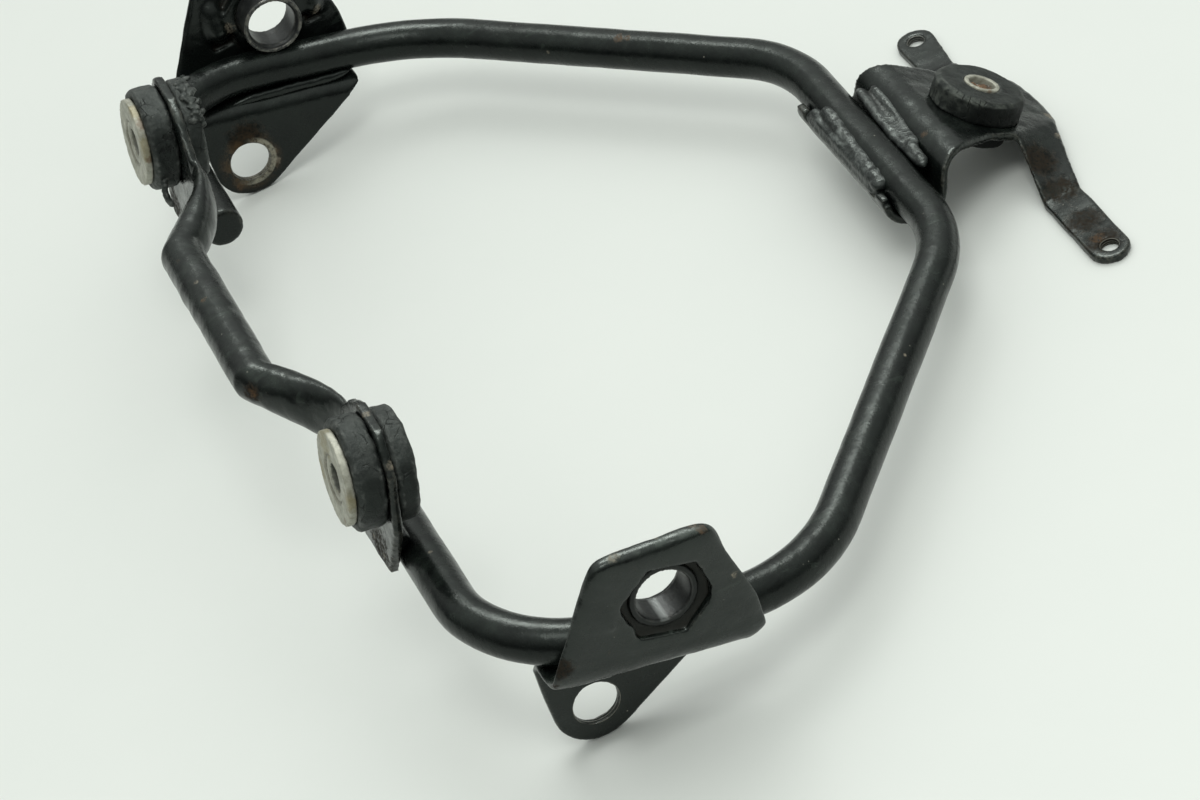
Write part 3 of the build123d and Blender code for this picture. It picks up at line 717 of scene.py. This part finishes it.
# Side plates: the rims are well rounded, the ribs bulge above their open feet, and the sheet behind the feet
# stays closed. Plugs are (centre, radii), lines are (y, z).
SLOT_BACKS = ((134.2, 33.6, 35.5), (134.45, 58.0, 31.5))
SLOT_BACK_RADII = (0.65, 5.0, 3.2)
RIB_BULGES = (
    ((132.8, 33.6, 40.0), (3.0, 2.9, 2.9)),
    ((133.5, 33.6, 43.0), (2.7, 2.9, 5.0)),
    ((132.9, 58.0, 35.2), (2.6, 2.7, 2.5)),
    ((133.3, 58.0, 37.2), (2.3, 2.7, 4.0)),
)
REAR_RIM = ((18.5, 33.0), (34.0, 57.0))
TOP_RIM = ((34.0, 57.0), (60.0, 53.2), (65.2, 29.0), (65.2, 20.0))
HEX_TURNS = [math.radians(HEX_TURN + 60 * corner) for corner in range(7)]
POCKET_EDGE = [(BUSH_Y + HEX_R * math.cos(turn), BUSH_Z + HEX_R * math.sin(turn)) for turn in HEX_TURNS]
# Way from the bush's axis to the painted highlight streak in its bore.
BORE_HIGHLIGHT_WAY = Vector((0, -0.25, -1.0))


def plate_skin(side, sign):
    plugs = [((sign * x, y, z), SLOT_BACK_RADII) for x, y, z in SLOT_BACKS]
    plugs += [((sign * x, y, z), radii) for (x, y, z), radii in RIB_BULGES]
    plate = skin_of(side + "_side_plate", voxel=0.36, rounds=9, plugs=plugs)
    rear = near_line(plate, REAR_RIM, full=3.5, none=9.0)
    top = near_line(plate, TOP_RIM, full=2.5, none=6.0)
    ease(plate, np.maximum(rear, top), rounds=180)
    ease(plate, near_line(plate, POCKET_EDGE, full=0.8, none=2.0), rounds=10)
    push(plate, seed=5 + sign, amount=0.2, size=9.0)
    mark_edges(plate)
    return plate


for side, sign in SIDES:
    plate = plate_skin(side, sign)
    foot_hole = at(sign * FOOT_X, FOOT_Y, FOOT_Z)
    bush_centre = at(sign * BUSH_X, BUSH_Y, BUSH_Z)
    tapped = ((foot_hole, SIDEWAYS, FOOT_HOLE_R, FOOT_THREAD),)
    if side == "right":
        plate_paint = paint(
            "right_plate_paint",
            dust=0.5,
            rust=RIGHT_PLATE_RUST,
            bare=RIGHT_PLATE_BARE,
            stain=RIGHT_PLATE_STAIN,
            worn_edges=0.18,
            rust_share=0.1,
            tapped=tapped,
            # Painted shade on the floor of the hex pocket.
            pocket=(bush_centre, SIDEWAYS, HEX_R, POCKET_FLOOR_AT),
            shine=0.5,
        )
        bush_steel = steel("right_bush_steel", bush_centre, SIDEWAYS, rim_share=0.1, highlight_way=BORE_HIGHLIGHT_WAY)
    else:
        plate_paint = paint(
            "left_plate_paint",
            dust=0.12,
            # Two of these pale spots are painted highlights on the rib bulges.
            rust=LEFT_PLATE_RUST,
            bare=LEFT_PLATE_BARE_AND_HIGHLIGHTS,
            stain=LEFT_PLATE_STAIN,
            worn_edges=0.12,
            rust_share=0.3,
            tapped=tapped,
            halo=(foot_hole, SIDEWAYS, FOOT_HOLE_R + 0.6, FOOT_HOLE_R + 4.0),
            shine=0.3,
        )
        bush_steel = steel("left_bush_steel", bush_centre, SIDEWAYS, rim_share=0.6)
    dress(plate, plate_paint, "black_paint", side + "_side_plate")
    bush = skin_of(side + "_bush", voxel=0.3, rounds=2)
    grow(bush, 0.2)
    mark_edges(bush)
    dress(bush, bush_steel, "bush_steel", side + "_bush")

# Rear rubber mounts.
tilt = math.radians(MOUNT_TILT)
MOUNT_AXIS = Vector((0, math.cos(tilt), -math.sin(tilt)))
for side, sign in SIDES:
    grommet = uneven_skin(side + "_grommet", voxel=0.35, rounds=5, seed=11 + sign, amount=0.35, size=5.0)
    grommet_rubber = rubber(side + "_grommet_rubber", tears=GROMMET_TEARS[side])
    dress(grommet, grommet_rubber, "rubber", side + "_grommet")
    collar = uneven_skin(side + "_collar", voxel=0.28, rounds=3, seed=17 + sign, amount=0.08, size=3.0)
    bore = (at(sign * MOUNT_X, MOUNT_Y, MOUNT_Z), MOUNT_AXIS, COLLAR_HOLE_R)
    collar_zinc = zinc(side + "_collar_zinc", COLLAR_STAIN[side], COLLAR_RUST[side], bore)
    dress(collar, collar_zinc, "zinc", side + "_collar")

# Front lug, its rubber and sleeve.
pitch = math.radians(FRONT_PITCH)
SLEEVE_AXIS = Vector((0, math.sin(pitch), math.cos(pitch)))
lug = uneven_skin("front_lug", voxel=0.46, rounds=8, seed=23, amount=0.2, size=9.0)
lug_paint = paint(
    "lug_paint",
    dust=0.14,
    rust=LUG_RUST,
    bare=LUG_BARE,
    stain=LUG_STAIN,
    worn_edges=0.25,
    rust_share=0.1,
    tapped=[(at(sign * ARM_X, ARM_Y, ARM_HOLE_Z), UPWARDS, ARM_HOLE_R, ARM_THREAD) for sign in (-1, 1)],
    shine=0.36,
)
dress(lug, lug_paint, "worn_black_paint", "front_lug")
front_rubber = uneven_skin("front_rubber", voxel=0.35, rounds=3, seed=29, amount=0.25, size=6.0)
disc = (at(0, FRONT_Y, FRONT_Z), SLEEVE_AXIS, DISC_R)
disc_rubber = rubber("front_rubber_rubber", dust=0.15, disc=disc, shine=0.22)
dress(front_rubber, disc_rubber, "rubber", "front_rubber")
sleeve = skin_of("front_sleeve", voxel=0.25, rounds=2)
mark_edges(sleeve)
dress(sleeve, zinc("sleeve_zinc", SLEEVE_STAIN, SLEEVE_RUST), "zinc", "front_sleeve")


# Weld beads, dirt and crumbs: overlapping lumps melted into one another.
def lumps(name, places, seed, rounds=2, sway=0.3):
    """One mesh of ellipsoids at (centre, radii) places, turned at random and melted together."""
    work = bmesh.new()
    chance = random.Random(seed)
    for centre, radii in places:
        level_turn = Matrix.Rotation(chance.uniform(-sway, sway), 4, "Z")
        add_ellipsoid(work, centre, radii, level_turn @ Matrix.Rotation(chance.uniform(-sway, sway), 4, "X"))
    mesh = bpy.data.meshes.new(name)
    work.to_mesh(mesh)
    work.free()
    return soften(new_object(name, mesh), voxel=0.3, rounds=rounds)


def row(start, end, count, radii, wobble, seed):
    """Lumps spread unevenly along a line of the drawing frame."""
    chance = random.Random(seed)
    first, last = Vector(start), Vector(end)
    places = []
    for index in range(count):
        share = min(1.0, max(0.0, (index + chance.uniform(-0.25, 0.25)) / (count - 1)))
        shake = Vector([chance.uniform(-wobble, wobble) for _ in range(3)])
        swell = chance.uniform(1 - 0.4 * wobble, 1 + 0.4 * wobble)
        places.append((first.lerp(last, share) + shake, [radius * swell for radius in radii]))
    return places


def along_photo(pixels, count, radii, wobble, seed):
    """Lumps on the solids, spread unevenly along a line of photo pixels."""
    chance = random.Random(seed)
    last = len(pixels) - 1
    places = []
    for index in range(count):
        share = (index + chance.uniform(-0.2, 0.2)) / (count - 1) * last
        first = min(last - 1, max(0, int(share)))
        u, v = Vector(pixels[first]).lerp(Vector(pixels[first + 1]), share - first)
        x, y, z = seen(u, v) / MM
        swell = chance.uniform(1 - wobble, 1 + wobble)
        places.append(((x, y + SHIFT_Y, z), [radius * swell for radius in radii]))
    return places


def bead(node, places, seed, material, amount):
    """A rippled weld that stands for a node."""
    obj = lumps(node + "_bead", places, seed, rounds=14, sway=0.06)
    push(obj, seed, amount, size=4.0, steps=2)
    mark_edges(obj, spread=2)
    return dress(obj, material, "weld_paint", node)


# The rear lug weld fills the corner between lip and bar, and ends in a thick curl.
rear_y, rear_z = NOSE_Y - 5.4, LIP_Z + 0.2
fill_y, fill_z = rear_y + 0.3, rear_z + 1.5
rear_places = row((-16, rear_y, rear_z), (15, rear_y, rear_z), 14, (5.0, 2.0, 1.5), wobble=0.06, seed=41)
rear_places += row((-15, fill_y, fill_z), (14, fill_y, fill_z), 14, (4.0, 1.8, 1.5), wobble=0.06, seed=48)
rear_places += along_photo(REAR_WELD_TOP, 26, (2.6, 1.7, 1.1), wobble=0.08, seed=42)
rear_places += along_photo(REAR_WELD_CURL, 4, (2.4, 2.2, 1.6), wobble=0.1, seed=43)
bead("rear_lug_weld", rear_places, 41, weld_paint("rear_weld_paint", dust=0.6), amount=0.16)

# The front lug weld is two ridges with a shallow groove between them.
front_places = along_photo(FRONT_WELD_LOW, 28, (2.4, 1.4, 1.1), wobble=0.06, seed=44)
front_places += along_photo(FRONT_WELD_HIGH, 22, (2.4, 1.2, 0.9), wobble=0.06, seed=45)
front_places += along_photo(FRONT_WELD_GROOVE, 20, (2.6, 1.6, 0.45), wobble=0.06, seed=46)
front_places += along_photo(FRONT_WELD_END, 3, (2.8, 1.7, 1.3), wobble=0.08, seed=47)
bead("front_lug_weld", front_places, 43, weld_paint("front_weld_paint", dust=0.5), amount=0.14)

# The small welds at the cross bar's ends and in the plates' folds are smooth and painted over.
END_DEPTH = 0.5
plain_weld = paint("plain_weld_paint", dust=0.05, worn_edges=0)
for side, _ in SIDES:
    end_weld = skin_of(side + "_end_weld", voxel=0.25, rounds=24)
    push(end_weld, seed=47, amount=0.12, size=4.0, steps=2)
    dress(end_weld, plain_weld, "weld_paint", side + "_end_weld")
    place = coordinates(NODES[side + "_plate_weld"].data) / MM + (0, SHIFT_Y, 0)
    length_at = place[:, 1]
    start = place[length_at < length_at.min() + END_DEPTH].mean(0)
    end = place[length_at > length_at.max() - END_DEPTH].mean(0)
    plate_places = row(start, end, 16, (1.0, 4.5, 1.0), wobble=0.04, seed=47)
    plate_weld = lumps(side + "_plate_bead", plate_places, seed=47, rounds=12, sway=0.03)
    dress(plate_weld, plain_weld, "weld_paint", side + "_plate_weld")

# Dirt that clogs the sleeve of the front rubber.
CLOD_COUNT, CLOD_RADII = 26, (1.0, 1.0, 0.9)
CLOG_R, CLOG_HEIGHT, CLOG_UNEVEN = SLEEVE_BORE_R * 0.72, 5.2, 0.6
sleeve_foot = Vector((0, FRONT_Y, FRONT_Z))
chance = random.Random(5)
clods = []
for _ in range(CLOD_COUNT):
    angle = chance.uniform(0, 2 * math.pi)
    reach = CLOG_R * math.sqrt(chance.random())
    out_way = SIDEWAYS * math.cos(angle) + SLEEVE_AXIS.cross(SIDEWAYS) * math.sin(angle)
    height = CLOG_HEIGHT + chance.uniform(-CLOG_UNEVEN, CLOG_UNEVEN)
    clods.append((sleeve_foot + SLEEVE_AXIS * height + out_way * reach, CLOD_RADII))
clog = lumps("sleeve_dirt", clods, seed=6)
dress(clog, dirt("sleeve_dirt"), "zinc")

# Crumbling rubber on the left mount: a crust on the back disc and a torn strip below the front one.
CRUMB_COUNT, STRIP_COUNT, STRIP_RADII = 44, 9, (0.8, 0.8, 0.9)
chance = random.Random(8)
crumbs = []
for index in range(CRUMB_COUNT):
    share = index / (CRUMB_COUNT - 1)
    u = CRUST_START[0] + CRUST_RUN[0] * share + chance.uniform(-6, 5)
    v = CRUST_START[1] + CRUST_RUN[1] * share + chance.uniform(-5, 5)
    size = chance.uniform(0.5, 1.2)
    crumbs.append((drawn_at(u, v), (size, size * 1.2, size * 0.8)))
strip_top = drawn_at(*STRIP_TOP)
for index in range(STRIP_COUNT):
    sideways = 0.05 * index ** 2 - 0.25 * index
    drop = Vector(CAMERA_DOWN) * (0.7 * index) + Vector(CAMERA_RIGHT) * sideways
    crumbs.append((strip_top + drop, STRIP_RADII))
crumb = lumps("left_grommet_crumbs", crumbs, seed=9, rounds=1)
push(crumb, seed=9, amount=0.2, size=1.0)
mark_edges(crumb, spread=2)
dress(crumb, rubber("crumb_rubber"), "rubber")

# Floor, in metres.
FLOOR_SPAN = 6.0
floor_corners = [(x * FLOOR_SPAN, y * FLOOR_SPAN, 0) for x, y in ((-1, -1), (1, -1), (1, 1), (-1, 1))]
floor_mesh = bpy.data.meshes.new("floor")
floor_mesh.from_pydata(floor_corners, [], [(0, 1, 2, 3)])
floor = new_object("floor", floor_mesh)
floor_paint = Graph("floor_paint")
floor_tone = floor_paint.noise(60.0, detail=4.0)
floor_colour = floor_paint.blend(floor_tone, srgb(226, 229, 225), srgb(231, 233, 229))
floor_mesh.materials.append(floor_paint.finish(floor_colour, 0.6))

# Sky: brightest overhead, dark at the horizon.
SKY_COLOUR = (0.955, 1.0, 0.96, 1.0)
SKY_TOP = Vector((-0.15, 0.1, 1.0)).normalized()
SKY_LEVELS = {"From Min": 0.0, "From Max": 0.95, "To Min": 0.1, "To Max": 1.05}
world = bpy.data.worlds.new("studio")
SCENE.world = world
world.use_nodes = True
sky_nodes, sky_links = world.node_tree.nodes, world.node_tree.links
sky = sky_nodes["Background"]
sky.inputs["Color"].default_value = SKY_COLOUR
look = sky_nodes.new("ShaderNodeTexCoord")
facing = sky_nodes.new("ShaderNodeVectorMath")
facing.operation = "DOT_PRODUCT"
facing.inputs[1].default_value = SKY_TOP
level = sky_nodes.new("ShaderNodeMapRange")
level.interpolation_type = "SMOOTHSTEP"
for socket, value in SKY_LEVELS.items():
    level.inputs[socket].default_value = value
sky_links.new(look.outputs["Generated"], facing.inputs[0])
sky_links.new(facing.outputs["Value"], level.inputs["Value"])
sky_links.new(level.outputs[0], sky.inputs["Strength"])


# Lamps, in metres and watts, all aimed at the bracket.
def area_lamp(name, place, size, power):
    lamp = bpy.data.lights.new(name, "AREA")
    lamp.shape = "RECTANGLE"
    lamp.size, lamp.size_y = size
    lamp.energy = power
    lamp.color = (0.97, 1.0, 0.965)
    obj = new_object(name, lamp)
    obj.location = place
    obj.rotation_euler = (-Vector(place)).to_track_quat("-Z", "Y").to_euler()
    return obj


area_lamp("window", place=(-0.9, 0.5, 1.5), size=(1.8, 1.4), power=3.0)
# The sheen lamp shows in reflections only.
sheen_lamp = area_lamp("sheen", place=(-0.7, 0.3, 1.3), size=(0.8, 0.4), power=16.0)
sheen_lamp.visible_diffuse = False
area_lamp("ceiling", place=(0.62, -0.12, 1.6), size=(0.6, 0.6), power=6.0)

# Camera.
camera_data = bpy.data.cameras.new("photo_camera")
camera_data.sensor_fit = "HORIZONTAL"
camera_data.sensor_width = SENSOR
camera_data.lens = FOCAL_PX * SENSOR / PHOTO_W
camera_data.clip_start, camera_data.clip_end = 0.05, 20.0
camera = new_object("photo_camera", camera_data)
camera_turn = Matrix([CAMERA_RIGHT, [-c for c in CAMERA_DOWN], [-c for c in CAMERA_VIEW]]).transposed()
camera.matrix_world = Matrix.Translation(at(*CAMERA_AT)) @ camera_turn.to_4x4()
SCENE.camera = camera
SCENE.view_settings.view_transform = "Standard"
